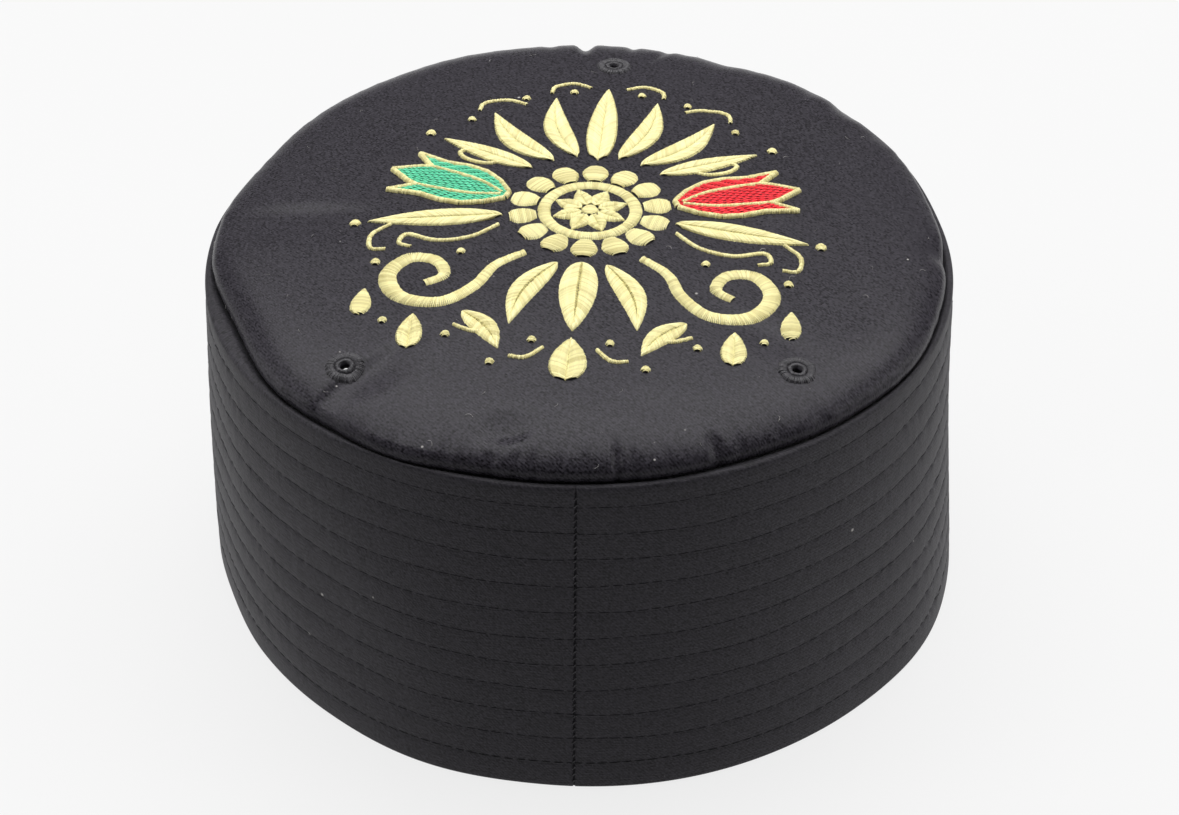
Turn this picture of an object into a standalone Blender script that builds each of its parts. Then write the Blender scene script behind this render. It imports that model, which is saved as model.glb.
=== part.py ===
"""A prayer cap: a padded, gently domed crown panel sewn onto a stiff quilted side band.

Three stitched eyelets air the crown, and a raised ornament is worked on its middle.
Metres, +Z up. The rim rests on Z = 0 around the origin, and the band's upright seam
faces -Y. The ornament's outlines are in millimetres on the crown's own flat plan.
"""

import math
from collections import namedtuple

import bmesh
import bpy
from mathutils import Matrix, Vector

MM = 0.001

# Side band: outer sizes, wall and quilting.
BAND_HEIGHT = 0.0848
BAND_TOP_RADIUS = 0.0906
BAND_RIM_RADIUS = 0.0942
BAND_WALL = 0.0031
CROWN_SHIFT_Y = 0.0012
QUILT_ROWS = 11
QUILT_FIRST = 0.0074
QUILT_PITCH = 0.00722
QUILT_GROOVE_DEPTH = 0.0004
QUILT_GROOVE_HALF = 0.0013
HEM_RADIUS = 0.0010
LIP_WIDTH = 0.0019
LEDGE_DEPTH = 0.0007
SEAM_DEPTH = 0.0005
SEAM_HALF_ANGLE = math.radians(0.45)
FRONT = math.radians(-90.0)
BAND_STEPS = 52

# The cap is a little oval. Each term adds to its radius as twice the way round turns.
Oval = namedtuple("Oval", "cosine sine")
RIM_OVAL = Oval(-0.0006, -0.0022)
TOP_OVAL = Oval(-0.0017, 0.0003)

# Where the crown's edge and the band's top stand out from that oval, or in from it.
Swell = namedtuple("Swell", "azimuth half_width out")
EDGE_SWELLS = (
    Swell(30.0, 22.0, 0.0015),
    Swell(50.0, 16.0, 0.0017),
    Swell(112.0, 14.0, 0.0006),
    Swell(158.0, 18.0, -0.0012),
)

# The finest step round the cap, in degrees, between an even step and a fold's own.
FINEST_STEP = 0.9

# Crown: a shallow dome that rolls over into the seam. Its rings crowd towards the shoulder.
CROWN_TOP = 0.0949
DOME_RISE = 0.0036
SHOULDER_RISE = 0.0026
SHOULDER_POWER = 18
ROLL_RADIUS = 0.0030
ROLL_START_R = 0.0874
TUCK_ANGLE = math.radians(-34.0)
CROWN_WALL = 0.0017
CROWN_STEPS = 40
DOME_RINGS = 6
RING_CROWDING = 0.6
ROLL_RINGS = 5
FOLD_EDGE = 0.8

# Stitched eyelets.
EYELET_HOLE = 0.0013
EYELET_INNER = 0.0016
EYELET_OUTER = 0.0043
EYELET_HEIGHT = 0.0008
EYELET_STEPS = 20
CUTTER_SIDES = 12

# Ornament: where its plan lies on the crown, and how thick the stitching stands.
ORNAMENT_X = 0.0017
ORNAMENT_Y = -0.0027
ORNAMENT_TURN = math.radians(-4.2)
STITCH_LIFT = 0.0003
STITCH_THICK = 0.0007
LEAF_STEPS = 9
DROP_STEPS = 12
VINE_STEPS = 3

# Gathers round the crown's edge, from the front (-90 degrees) and the back (90 degrees).
Gather = namedtuple("Gather", "azimuth half_width depth")
GATHERS = (
    Gather(-102.0, 2.0, 0.0006),
    Gather(-98.4, 1.8, 0.0005),
    Gather(-88.8, 1.6, 0.0005),
    Gather(-84.2, 1.8, 0.0010),
    Gather(-81.5, 1.6, 0.0005),
    Gather(-69.8, 2.2, 0.0006),
    Gather(76.0, 2.2, 0.0006),
    Gather(82.0, 2.0, 0.0007),
    Gather(90.0, 2.6, 0.0018),
    Gather(-3.0, 5.0, 0.0005),
)

# Soft radial dents of the dome, fading towards both radii.
Dent = namedtuple("Dent", "azimuth half_width inner outer depth")
DENTS = (
    Dent(-132.0, 7.0, 0.056, 0.084, 0.0009),
    Dent(64.0, 6.0, 0.060, 0.084, 0.0006),
    Dent(-102.0, 6.0, 0.068, 0.084, 0.0006),
)

# Eyelets, from the crown's centre.
Eyelet = namedtuple("Eyelet", "name x y")
EYELETS = (
    Eyelet("eyelet_left", -0.0518, -0.0580),
    Eyelet("eyelet_right", 0.0486, -0.0578),
    Eyelet("eyelet_back", 0.0075, 0.0725),
)

# Ornament pieces in millimetres on its plan, +V towards the cap's back. Leaves, buds,
# tulips and vines are made twice, mirrored in U.
Leaf = namedtuple("Leaf", "name base_u base_v tip_u tip_v bend half_width")
LEAVES = (
    Leaf("fan_inner", 5.2, 28.0, 12.8, 56.0, -2.4, 3.3),
    Leaf("fan_outer", 10.8, 25.6, 27.5, 47.5, -2.6, 3.4),
    Leaf("fan_low", 15.8, 21.8, 38.5, 34.2, 0.0, 2.7),
    Leaf("leaf_side", 20.8, 0.4, 52.0, -3.8, 0.0, 3.3),
    Leaf("foot_lobe", 5.8, -18.6, 14.5, -42.0, 2.4, 3.2),
    Leaf("leaf_vine", 25.4, -38.9, 16.2, -51.0, -1.4, 2.8),
)
Drop = namedtuple("Drop", "name u point_v foot_v half_width")
BUDS = (
    Drop("bud_inner", 36.5, -40.6, -52.0, 3.4),
    Drop("bud_outer", 49.0, -31.5, -41.0, 2.7),
)
CENTRE_DROPS = (
    Drop("fan_middle", 0.0, 62.0, 27.0, 4.4),
    Drop("foot_middle", 0.0, -43.5, -18.0, 5.2),
    Drop("bud_middle", 0.0, -46.5, -61.0, 5.0),
)
ROSETTE_V = 4.0
ROSETTE_PETALS = 14
ROSETTE_TIP = 19.4
ROSETTE_VALLEY = 16.4
TULIP_BASE = (20.4, 8.8)
TULIP_LEAN = math.radians(20.0)
TULIP_TIP = 31.0
TulipEdge = namedtuple("TulipEdge", "along across")
TULIP_EDGE = (
    TulipEdge(0.0, 1.3),
    TulipEdge(4.0, 4.9),
    TulipEdge(9.0, 7.5),
    TulipEdge(14.0, 8.1),
    TulipEdge(20.0, 7.5),
    TulipEdge(28.0, 8.8),
    TulipEdge(22.4, 4.3),
    TulipEdge(25.0, 3.4),
)
VINE_ROUTE = ((13.6, -14.8), (20.0, -20.4), (24.0, -29.0), (31.0, -35.4), (40.4, -34.0),
              (44.4, -26.0), (40.4, -18.8), (33.8, -19.4), (31.4, -25.0), (35.4, -28.4))
VINE_HALF_WIDTHS = (0.9, 2.0, 1.0)

Finish = namedtuple("Finish", "colour roughness sheen")
FINISHES = {
    "crown_satin": Finish((0.030, 0.030, 0.032), 0.50, 0.4),
    "band_twill": Finish((0.014, 0.014, 0.015), 0.75, 0.3),
    "black_thread": Finish((0.012, 0.012, 0.013), 0.45, 0.3),
    "gold_thread": Finish((0.78, 0.66, 0.30), 0.42, 0.4),
    "green_thread": Finish((0.09, 0.50, 0.27), 0.45, 0.4),
    "red_thread": Finish((0.72, 0.03, 0.05), 0.45, 0.4),
}


def clear_scene():
    for obj in list(bpy.data.objects):
        bpy.data.objects.remove(obj, do_unlink=True)


def make_materials():
    made = {}
    for name, finish in FINISHES.items():
        material = bpy.data.materials.new(name)
        material.use_nodes = True
        shader = material.node_tree.nodes["Principled BSDF"]
        shader.inputs["Base Color"].default_value = (*finish.colour, 1.0)
        shader.inputs["Roughness"].default_value = finish.roughness
        shader.inputs["Metallic"].default_value = 0.0
        shader.inputs["Sheen Weight"].default_value = finish.sheen
        made[name] = material
    return made


def add_object(name, bm, material):
    """Turns a bmesh into a named, smooth-shaded object whose faces point outwards."""
    bmesh.ops.recalc_face_normals(bm, faces=bm.faces)
    mesh = bpy.data.meshes.new(name)
    bm.to_mesh(mesh)
    bm.free()
    mesh.materials.append(material)
    mesh.shade_smooth()
    mesh.set_sharp_from_angle(angle=math.radians(40.0))
    obj = bpy.data.objects.new(name, mesh)
    bpy.context.scene.collection.objects.link(obj)
    return obj


def bridge(bm, first, second):
    """Joins two closed loops of vertices with quads."""
    count = len(first)
    for i in range(count):
        j = (i + 1) % count
        bm.faces.new((first[i], first[j], second[j], second[i]))


def bump(offset, half_width):
    """A smooth pulse: 1 in the middle, 0 from half_width outwards."""
    if abs(offset) >= half_width:
        return 0.0
    return 0.5 + 0.5 * math.cos(math.pi * offset / half_width)


def degrees_between(azimuth, degrees):
    return (math.degrees(azimuth) - degrees + 180.0) % 360.0 - 180.0


def azimuths(steps, extra):
    """Even steps round the cap, with finer ones where a fold or seam needs them."""
    found = {round(math.degrees(a) % 360.0, 4) for a in extra}
    for i in range(steps):
        angle = i * 360.0 / steps
        if all(abs((angle - e + 180.0) % 360.0 - 180.0) > FINEST_STEP for e in found):
            found.add(angle)
    return [math.radians(a) for a in sorted(found)]


def oval_at(azimuth, oval):
    return oval.cosine * math.cos(2 * azimuth) + oval.sine * math.sin(2 * azimuth)


def top_oval(azimuth):
    """How far the crown's edge lies outside a round one, its swells included."""
    return oval_at(azimuth, TOP_OVAL) + sum(
        swell.out * bump(degrees_between(azimuth, swell.azimuth), swell.half_width)
        for swell in EDGE_SWELLS
    )


def band_point(azimuth, depth, height):
    """A point of the band at a height, this far inside its outer face."""
    share = height / BAND_HEIGHT
    rim = BAND_RIM_RADIUS + oval_at(azimuth, RIM_OVAL)
    top = BAND_TOP_RADIUS + top_oval(azimuth)
    radius = rim + (top - rim) * share - depth
    return Vector((
        radius * math.cos(azimuth),
        radius * math.sin(azimuth) + CROWN_SHIFT_Y * share,
        height,
    ))


def band_section():
    """(depth, height, is_outer) round the wall, from the rim's inner edge up the outside."""
    section = [
        (BAND_WALL - HEM_RADIUS, 0.0, False),
        (HEM_RADIUS, 0.0, False),
        (HEM_RADIUS * 0.3, HEM_RADIUS * 0.3, True),
        (0.0, HEM_RADIUS, True),
    ]
    for row in range(QUILT_ROWS):
        groove = QUILT_FIRST + QUILT_PITCH * row
        section += [
            (0.0, groove - QUILT_GROOVE_HALF, True),
            (QUILT_GROOVE_DEPTH, groove, True),
            (0.0, groove + QUILT_GROOVE_HALF, True),
        ]
    section += [
        (0.0, BAND_HEIGHT - LIP_WIDTH / 2, True),
        (LIP_WIDTH * 0.25, BAND_HEIGHT - LIP_WIDTH * 0.1, True),
        (LIP_WIDTH * 0.6, BAND_HEIGHT, False),
        (LIP_WIDTH, BAND_HEIGHT - LEDGE_DEPTH * 0.4, False),
        (LIP_WIDTH, BAND_HEIGHT - LEDGE_DEPTH, False),
        (BAND_WALL, BAND_HEIGHT - LEDGE_DEPTH, False),
        (BAND_WALL, BAND_HEIGHT / 2, False),
        (BAND_WALL, HEM_RADIUS, False),
    ]
    return section


def make_band(material):
    section = band_section()
    edge = SEAM_HALF_ANGLE
    around = azimuths(BAND_STEPS, [FRONT - 2 * edge, FRONT - edge, FRONT, FRONT + edge,
                                   FRONT + 2 * edge])
    bm = bmesh.new()
    loops = []
    for azimuth in around:
        offset = math.radians(degrees_between(azimuth, math.degrees(FRONT)))
        notch = SEAM_DEPTH * bump(offset, 2 * edge)
        loops.append([
            bm.verts.new(band_point(azimuth, depth + (notch if outer else 0.0), height))
            for depth, height, outer in section
        ])
    for i, loop in enumerate(loops):
        bridge(bm, loop, loops[(i + 1) % len(loops)])
    return add_object("side_band", bm, material)


def dome_height(radius):
    """Height of the undented dome, which steepens towards its shoulder."""
    share = radius / ROLL_START_R
    return CROWN_TOP - DOME_RISE * share ** 2 - SHOULDER_RISE * share ** SHOULDER_POWER


def dent_depth(radius, azimuth):
    depth = 0.0
    for dent in DENTS:
        middle = (dent.inner + dent.outer) / 2
        along = bump(radius - middle, (dent.outer - dent.inner) / 2)
        depth += dent.depth * along * bump(degrees_between(azimuth, dent.azimuth),
                                           dent.half_width)
    return depth


def crown_height(x, y):
    """Height of the crown's outer face over a point near its middle."""
    azimuth = math.atan2(y - CROWN_SHIFT_Y, x)
    widened = 1 + top_oval(azimuth) / ROLL_START_R
    radius = math.hypot(x, y - CROWN_SHIFT_Y) / widened
    return dome_height(radius) - dent_depth(radius, azimuth)


def crown_rings():
    """(radius, height, slope angle, gather share) from the dome's middle to the seam."""
    rings = []
    for i in range(1, DOME_RINGS + 1):
        share = i / DOME_RINGS
        radius = ROLL_START_R * share ** RING_CROWDING
        rings.append((radius, dome_height(radius), math.radians(90.0), 0.5 * share ** 9))
    fall = (2 * DOME_RISE + SHOULDER_POWER * SHOULDER_RISE) / ROLL_START_R
    start = math.radians(90.0) - math.atan(fall)
    centre_r = ROLL_START_R - ROLL_RADIUS * math.cos(start)
    centre_z = dome_height(ROLL_START_R) - ROLL_RADIUS * math.sin(start)
    for i in range(1, ROLL_RINGS + 1):
        share = i / ROLL_RINGS
        angle = start + (TUCK_ANGLE - start) * share
        radius = centre_r + ROLL_RADIUS * math.cos(angle)
        height = centre_z + ROLL_RADIUS * math.sin(angle)
        rings.append((radius, height, angle, bump(share - 0.5, 1.0)))
    return rings


def crown_point(ring, azimuth):
    """A point of the crown's outer face, pressed in along its slope by each gather."""
    radius, height, angle, share = ring
    depth = share * sum(
        gather.depth * bump(degrees_between(azimuth, gather.azimuth), gather.half_width)
        for gather in GATHERS
    )
    height -= dent_depth(radius, azimuth)
    radius += top_oval(azimuth) * min(1.0, radius / ROLL_START_R)
    radius -= depth * math.cos(angle)
    return Vector((
        radius * math.cos(azimuth),
        radius * math.sin(azimuth) + CROWN_SHIFT_Y,
        height - depth * math.sin(angle),
    ))


def make_eyelet_cutter(eyelet):
    x, y = eyelet.x, eyelet.y + CROWN_SHIFT_Y
    bm = bmesh.new()
    bmesh.ops.create_cone(bm, cap_ends=True, segments=CUTTER_SIDES, radius1=EYELET_HOLE,
                          radius2=EYELET_HOLE, depth=6 * CROWN_WALL,
                          matrix=Matrix.Translation((x, y, crown_height(x, y))))
    bmesh.ops.recalc_face_normals(bm, faces=bm.faces)
    mesh = bpy.data.meshes.new(eyelet.name + "_cutter")
    bm.to_mesh(mesh)
    bm.free()
    cutter = bpy.data.objects.new(mesh.name, mesh)
    bpy.context.scene.collection.objects.link(cutter)
    cutter.hide_render = True
    cutter.display_type = "WIRE"
    return cutter


def make_crown(material):
    """The panel's outer face, given its wall by Solidify and its eyelet holes by Booleans."""
    folds = [
        math.radians(fold.azimuth + side * fold.half_width * FOLD_EDGE)
        for fold in GATHERS + DENTS for side in (-1, 0, 1)
    ]
    around = azimuths(CROWN_STEPS, folds)
    bm = bmesh.new()
    loops = [[bm.verts.new(crown_point(ring, a)) for a in around] for ring in crown_rings()]
    middle = bm.verts.new((0.0, CROWN_SHIFT_Y, CROWN_TOP))
    for i, vertex in enumerate(loops[0]):
        bm.faces.new((middle, vertex, loops[0][(i + 1) % len(around)]))
    for inner, outer in zip(loops, loops[1:]):
        bridge(bm, outer, inner)
    crown = add_object("crown", bm, material)
    wall = crown.modifiers.new("wall", "SOLIDIFY")
    wall.thickness = CROWN_WALL
    wall.offset = -1.0
    wall.use_even_offset = True
    for eyelet in EYELETS:
        cut = crown.modifiers.new(eyelet.name, "BOOLEAN")
        cut.operation = "DIFFERENCE"
        cut.object = make_eyelet_cutter(eyelet)
    return crown


def make_eyelet(eyelet, material):
    """A ring of close satin stitches, as one low rounded ring that follows the dome."""
    half = (EYELET_OUTER - EYELET_INNER) / 2
    middle = EYELET_INNER + half
    section = (
        (EYELET_INNER, 0.0),
        (middle - 0.75 * half, 0.7 * EYELET_HEIGHT),
        (middle, EYELET_HEIGHT),
        (middle + 0.75 * half, 0.7 * EYELET_HEIGHT),
        (EYELET_OUTER, 0.0),
        (middle, 0.0),
    )
    bm = bmesh.new()
    loops = []
    for i in range(EYELET_STEPS):
        angle = math.tau * i / EYELET_STEPS
        loop = []
        for radius, rise in section:
            x = eyelet.x + radius * math.cos(angle)
            y = eyelet.y + CROWN_SHIFT_Y + radius * math.sin(angle)
            loop.append(bm.verts.new((x, y, crown_height(x, y) + STITCH_LIFT + rise)))
        loops.append(loop)
    for i, loop in enumerate(loops):
        bridge(bm, loop, loops[(i + 1) % EYELET_STEPS])
    return add_object(eyelet.name, bm, material)


def smooth_route(points, steps):
    """Points of a Catmull-Rom curve through the route's own points."""
    ends = [points[0], *points, points[-1]]
    route = []
    for i in range(1, len(ends) - 2):
        p0, p1, p2, p3 = (Vector(ends[i + k]) for k in (-1, 0, 1, 2))
        for k in range(steps):
            t = k / steps
            route.append(0.5 * (2 * p1 + (p2 - p0) * t + (2 * p0 - 5 * p1 + 4 * p2 - p3) * t * t
                                + (3 * p1 - p0 - 3 * p2 + p3) * t ** 3))
    route.append(Vector(points[-1]))
    return route


def ribbon_outline(route, half_widths):
    """The closed outline of a band of stitches, its width given at start, middle and end."""
    start, middle, end = half_widths
    left, right = [], []
    for i, point in enumerate(route):
        ahead = route[min(i + 1, len(route) - 1)] - route[max(i - 1, 0)]
        normal = Vector((-ahead.y, ahead.x)).normalized()
        share = i / (len(route) - 1)
        if share < 0.5:
            half = start + (middle - start) * 2 * share
        else:
            half = middle + (end - middle) * (2 * share - 1)
        left.append(point + normal * half)
        right.append(point - normal * half)
    return left + right[::-1]


def leaf_outline(leaf):
    """A pointed leaf along a bowed spine."""
    base, tip = Vector((leaf.base_u, leaf.base_v)), Vector((leaf.tip_u, leaf.tip_v))
    across = Vector((-(tip - base).y, (tip - base).x)).normalized()
    left, right = [base], []
    for i in range(1, LEAF_STEPS):
        t = i / LEAF_STEPS
        spine = base.lerp(tip, t) + across * leaf.bend * math.sin(math.pi * t)
        half = leaf.half_width * math.sin(math.pi * t ** 0.8) ** 0.9
        left.append(spine + across * half)
        right.append(spine - across * half)
    return left + [tip] + right[::-1]


def drop_outline(drop):
    """A drop with its point at one end, and its widest part near its foot."""
    outline = []
    for i in range(2 * DROP_STEPS):
        angle = math.pi * i / DROP_STEPS
        across = drop.half_width * math.sin(angle) * abs(math.sin(0.5 * angle)) ** 0.7
        share = (1 - math.cos(angle)) / 2
        outline.append(Vector((drop.u + across,
                               drop.point_v + (drop.foot_v - drop.point_v) * share)))
    return outline


def rosette_outline():
    """A round flower's edge, four points to each petal."""
    outline = []
    for i in range(4 * ROSETTE_PETALS):
        bulge = (0.0, 0.8, 1.0, 0.8)[i % 4]
        radius = ROSETTE_VALLEY + (ROSETTE_TIP - ROSETTE_VALLEY) * bulge
        angle = math.tau * i / (4 * ROSETTE_PETALS)
        outline.append(Vector((radius * math.cos(angle),
                               ROSETTE_V + radius * math.sin(angle))))
    return outline


def tulip_outline():
    along = Vector((math.cos(TULIP_LEAN), math.sin(TULIP_LEAN)))
    across = Vector((-along.y, along.x))
    base = Vector(TULIP_BASE)
    upper = [base + along * edge.along + across * edge.across for edge in TULIP_EDGE]
    lower = [base + along * edge.along - across * edge.across for edge in TULIP_EDGE]
    return upper + [base + along * TULIP_TIP] + lower[::-1]


def on_crown(point, side, lift):
    """A point of the ornament's plan, in millimetres, set on the crown's surface."""
    u, v = side * point.x * MM, point.y * MM
    cos, sin = math.cos(ORNAMENT_TURN), math.sin(ORNAMENT_TURN)
    x = ORNAMENT_X + u * cos - v * sin
    y = ORNAMENT_Y + u * sin + v * cos + CROWN_SHIFT_Y
    return Vector((x, y, crown_height(x, y) + lift))


def make_stitched(name, outline, material, side=1):
    """A flat patch of stitches that follows the dome: its outline, raised by its thickness."""
    bm = bmesh.new()
    foot = [bm.verts.new(on_crown(p, side, STITCH_LIFT)) for p in outline]
    head = [bm.verts.new(on_crown(p, side, STITCH_LIFT + STITCH_THICK)) for p in outline]
    bridge(bm, foot, head)
    bm.faces.new(foot)
    bm.faces.new(head)
    return add_object(name, bm, material)


def make_rosette(material):
    """The flower's face and foot meet in middle points, so that both follow the dome."""
    outline = rosette_outline()
    middle = Vector((0.0, ROSETTE_V))
    foot, head = STITCH_LIFT, STITCH_LIFT + STITCH_THICK
    bm = bmesh.new()
    rings = []
    for scale, lift in ((0.5, foot), (1.0, foot), (1.0, head), (0.5, head)):
        rings.append([bm.verts.new(on_crown(middle.lerp(p, scale), 1, lift)) for p in outline])
    for inner, outer in zip(rings, rings[1:]):
        bridge(bm, inner, outer)
    for ring, lift in ((rings[0], foot), (rings[-1], head)):
        hub = bm.verts.new(on_crown(middle, 1, lift))
        for i, vertex in enumerate(ring):
            bm.faces.new((hub, vertex, ring[(i + 1) % len(ring)]))
    return add_object("rosette", bm, material)


def make_ornament(materials):
    gold = materials["gold_thread"]
    make_rosette(gold)
    for drop in CENTRE_DROPS:
        make_stitched(drop.name, drop_outline(drop), gold)
    vine = ribbon_outline(smooth_route(VINE_ROUTE, VINE_STEPS), VINE_HALF_WIDTHS)
    for side, word in ((-1, "left"), (1, "right")):
        petals = materials["green_thread" if side < 0 else "red_thread"]
        make_stitched("tulip_" + word, tulip_outline(), petals, side)
        make_stitched("vine_" + word, vine, gold, side)
        for leaf in LEAVES:
            make_stitched(f"{leaf.name}_{word}", leaf_outline(leaf), gold, side)
        for bud in BUDS:
            make_stitched(f"{bud.name}_{word}", drop_outline(bud), gold, side)


def main():
    clear_scene()
    materials = make_materials()
    make_band(materials["band_twill"])
    make_crown(materials["crown_satin"])
    for eyelet in EYELETS:
        make_eyelet(eyelet, materials["black_thread"])
    make_ornament(materials)


main()
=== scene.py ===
# The prayer cap's looks: padded satin crown, quilted twill band and thread ornament.
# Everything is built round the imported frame, in metres, +Z up. The band's upright seam
# faces -Y. The ornament is drawn in millimetres on the crown's plan, +V towards the back.

import math
from collections import namedtuple

import bmesh
import bpy
import numpy as np
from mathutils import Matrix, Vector
from mathutils.bvhtree import BVHTree


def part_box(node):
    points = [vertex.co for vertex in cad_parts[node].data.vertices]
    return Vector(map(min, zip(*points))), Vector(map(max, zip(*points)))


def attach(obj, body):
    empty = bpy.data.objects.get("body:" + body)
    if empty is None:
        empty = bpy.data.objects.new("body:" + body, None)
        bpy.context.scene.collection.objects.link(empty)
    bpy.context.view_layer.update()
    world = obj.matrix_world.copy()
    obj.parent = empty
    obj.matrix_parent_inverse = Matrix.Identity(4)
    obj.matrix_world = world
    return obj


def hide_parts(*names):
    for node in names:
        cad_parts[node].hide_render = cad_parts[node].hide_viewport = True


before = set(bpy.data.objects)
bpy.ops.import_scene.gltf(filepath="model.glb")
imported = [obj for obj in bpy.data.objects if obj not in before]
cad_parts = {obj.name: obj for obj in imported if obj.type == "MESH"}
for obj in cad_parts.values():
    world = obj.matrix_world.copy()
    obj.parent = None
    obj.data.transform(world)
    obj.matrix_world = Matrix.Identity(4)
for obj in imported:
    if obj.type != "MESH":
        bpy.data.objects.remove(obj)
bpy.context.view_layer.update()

MM = 0.001
RANDOM = np.random.default_rng(57)

# Sizes read from the frame.
BAND_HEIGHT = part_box("side_band")[1].z
CROWN_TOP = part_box("crown")[1].z

# Side band.
BAND_TOP_RADIUS = 0.0906
BAND_RIM_RADIUS = 0.0942
BAND_WALL = 0.0031
CROWN_SHIFT_Y = 0.0012
QUILT_ROWS = 11
QUILT_FIRST = 0.0074
QUILT_PITCH = 0.00722
QUILT_DEPTH = 0.00006
SOFTER_SIDES = 9.0
CHANNEL_PUFF = 0.00004
HEM_RADIUS = 0.0010
LIP_WIDTH = 0.0019
LEDGE_DEPTH = 0.0007
SEAM_DEPTH = 0.00050
SEAM_HALF_WIDTH = 0.24
FRONT = -90.0
BAND_COLUMNS = 860


def named(kind, *rows):
    """A table whose rows know their columns by name."""
    return [kind(*row) for row in rows]


# The cap is a little out of round: its radius changes, in millimetres, with its turns.
Turn = namedtuple("Turn", "turns cosine sine")
RIM_OVAL = named(Turn, (2, -0.6, -2.2), (3, 1.0, 0.35))
TOP_OVAL = named(Turn, (1, -0.3, 0.0), (2, -1.7, 0.3), (3, 0.0, -0.9))

# Swells in millimetres, each over its own width in degrees: where the crown's edge and the
# band's top stand out from that oval, and where the seam between them lies further in.
Swell = namedtuple("Swell", "azimuth half_width out")
EDGE_SWELLS = named(
    Swell,
    (30.0, 22.0, 1.5), (50.0, 16.0, 1.7), (112.0, 14.0, 0.6), (158.0, 18.0, -1.2))
RIM_SWELLS = named(
    Swell,
    (-112.0, 18.0, 0.7), (-28.0, 18.0, 0.7), (-76.0, 26.0, 0.4), (-160.0, 14.0, -0.5))
SEAM_SWELLS = named(
    Swell,
    (-156.0, 20.0, -2.7), (-116.0, 12.0, 1.1), (-64.0, 14.0, -0.6), (-32.0, 16.0, 0.8))
SEAM_REACH = 0.012

# Crown.
DOME_RISE = 0.0036
SHOULDER_RISE = 0.0026
SHOULDER_POWER = 18
ROLL_RADIUS = 0.0030
ROLL_START_R = 0.0874
TUCK_ANGLE = math.radians(-46.0)
CROWN_WALL = 0.0017
DOME_RINGS = 54
ROLL_RINGS = 20
EYELET_HOLE = 0.0012

# Stitching.
ORNAMENT_X = 0.0017
ORNAMENT_Y = -0.0027
ORNAMENT_TURN = math.radians(-4.2)
THREAD_RADIUS = 0.00021
STITCH_PITCH = 0.40

# The photo's camera, fitted to the cap's outlines.
PHOTO_WIDTH = 1179
FOCAL_PIXELS = 2800
CAMERA_TURN = math.radians(0.592)
CAMERA_PITCH = math.radians(37.369)
CAMERA_ROLL = -0.0074
CAMERA_DISTANCE = 0.7018
AIM = Vector((-0.00083, 0.0020, 0.03623))


def add_camera():
    """Looks from the front and above, as the photo does."""
    data = bpy.data.cameras.new("photo_camera")
    data.sensor_width = 36.0
    data.lens = FOCAL_PIXELS / PHOTO_WIDTH * data.sensor_width
    data.clip_start = 0.01
    camera = bpy.data.objects.new("photo_camera", data)
    bpy.context.scene.collection.objects.link(camera)
    level = CAMERA_DISTANCE * math.cos(CAMERA_PITCH)
    camera.location = AIM + Vector((
        level * math.sin(CAMERA_TURN),
        -level * math.cos(CAMERA_TURN),
        CAMERA_DISTANCE * math.sin(CAMERA_PITCH),
    ))
    camera.rotation_euler = (math.pi / 2 - CAMERA_PITCH, CAMERA_ROLL, CAMERA_TURN)
    bpy.context.scene.camera = camera


# Node trees, for shaders and Geometry Nodes alike.


class Wire:
    """A value in a node tree. Sums written with it become the tree's own maths nodes."""

    def __init__(self, tree, socket):
        self.tree, self.socket = tree, socket

    def __add__(self, other):
        return maths(self.tree, "ADD", self, other)

    def __sub__(self, other):
        return maths(self.tree, "SUBTRACT", self, other)

    def __mul__(self, other):
        return maths(self.tree, "MULTIPLY", self, other)


def feed(tree, made, inputs):
    """Sets a node's inputs, by name or number, and links those that are given a wire."""
    for key, value in inputs.items():
        if isinstance(value, Wire):
            tree.links.new(value.socket, made.inputs[key])
        else:
            made.inputs[key].default_value = value


def node(tree, kind, inputs=None, out=0, **settings):
    """Places and feeds a node, and gives the wire that comes out of it, or a list of them."""
    made = tree.nodes.new(kind)
    for key, value in settings.items():
        setattr(made, key, value)
    feed(tree, made, inputs or {})
    if isinstance(out, tuple):
        return [Wire(tree, made.outputs[key]) for key in out]
    return Wire(tree, made.outputs[out])


def maths(tree, operation, first, second=0.0, clamp=False):
    return node(tree, "ShaderNodeMath", {0: first, 1: second}, operation=operation, use_clamp=clamp)


def noise(tree, place, scale, detail=2.0):
    return node(tree, "ShaderNodeTexNoise", {"Vector": place, "Scale": scale, "Detail": detail}, "Fac")


def spread(tree, value, low, high):
    """A value drawn out from a narrow range to 0 and 1."""
    return node(tree, "ShaderNodeMapRange", {"Value": value, "From Min": low, "From Max": high})


def vector(tree, x=0.0, y=0.0, z=0.0):
    return node(tree, "ShaderNodeCombineXYZ", {0: x, 1: y, 2: z})


def attribute(tree, name):
    return node(tree, "ShaderNodeAttribute", None, "Fac", attribute_name=name)


def object_place(tree):
    return node(tree, "ShaderNodeTexCoord", None, "Object")


def new_group(name, kind, inputs, *outputs):
    """A group with named inputs, each given its value, or its kind if it has no value.

    A Shader group puts out numbers, and a Geometry group puts out a shape.
    """
    tree = bpy.data.node_groups.new(name, kind + "NodeTree")
    kinds = {float: "Float", int: "Int", "Shader": "Float", "Geometry": "Geometry"}
    for label, value in inputs.items():
        word = value if isinstance(value, str) else kinds[type(value)]
        socket = tree.interface.new_socket(label, in_out="INPUT", socket_type="NodeSocket" + word)
        if word != value:
            socket.default_value = value
    for label in outputs:
        tree.interface.new_socket(label, in_out="OUTPUT", socket_type="NodeSocket" + kinds[kind])
    sockets = tree.nodes.new("NodeGroupInput").outputs
    given = {label: Wire(tree, sockets[label]) for label in inputs}
    return tree, given, tree.nodes.new("NodeGroupOutput")


def use_group(tree, group, out, **values):
    return node(tree, "ShaderNodeGroup", values, out, node_tree=group)


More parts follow.
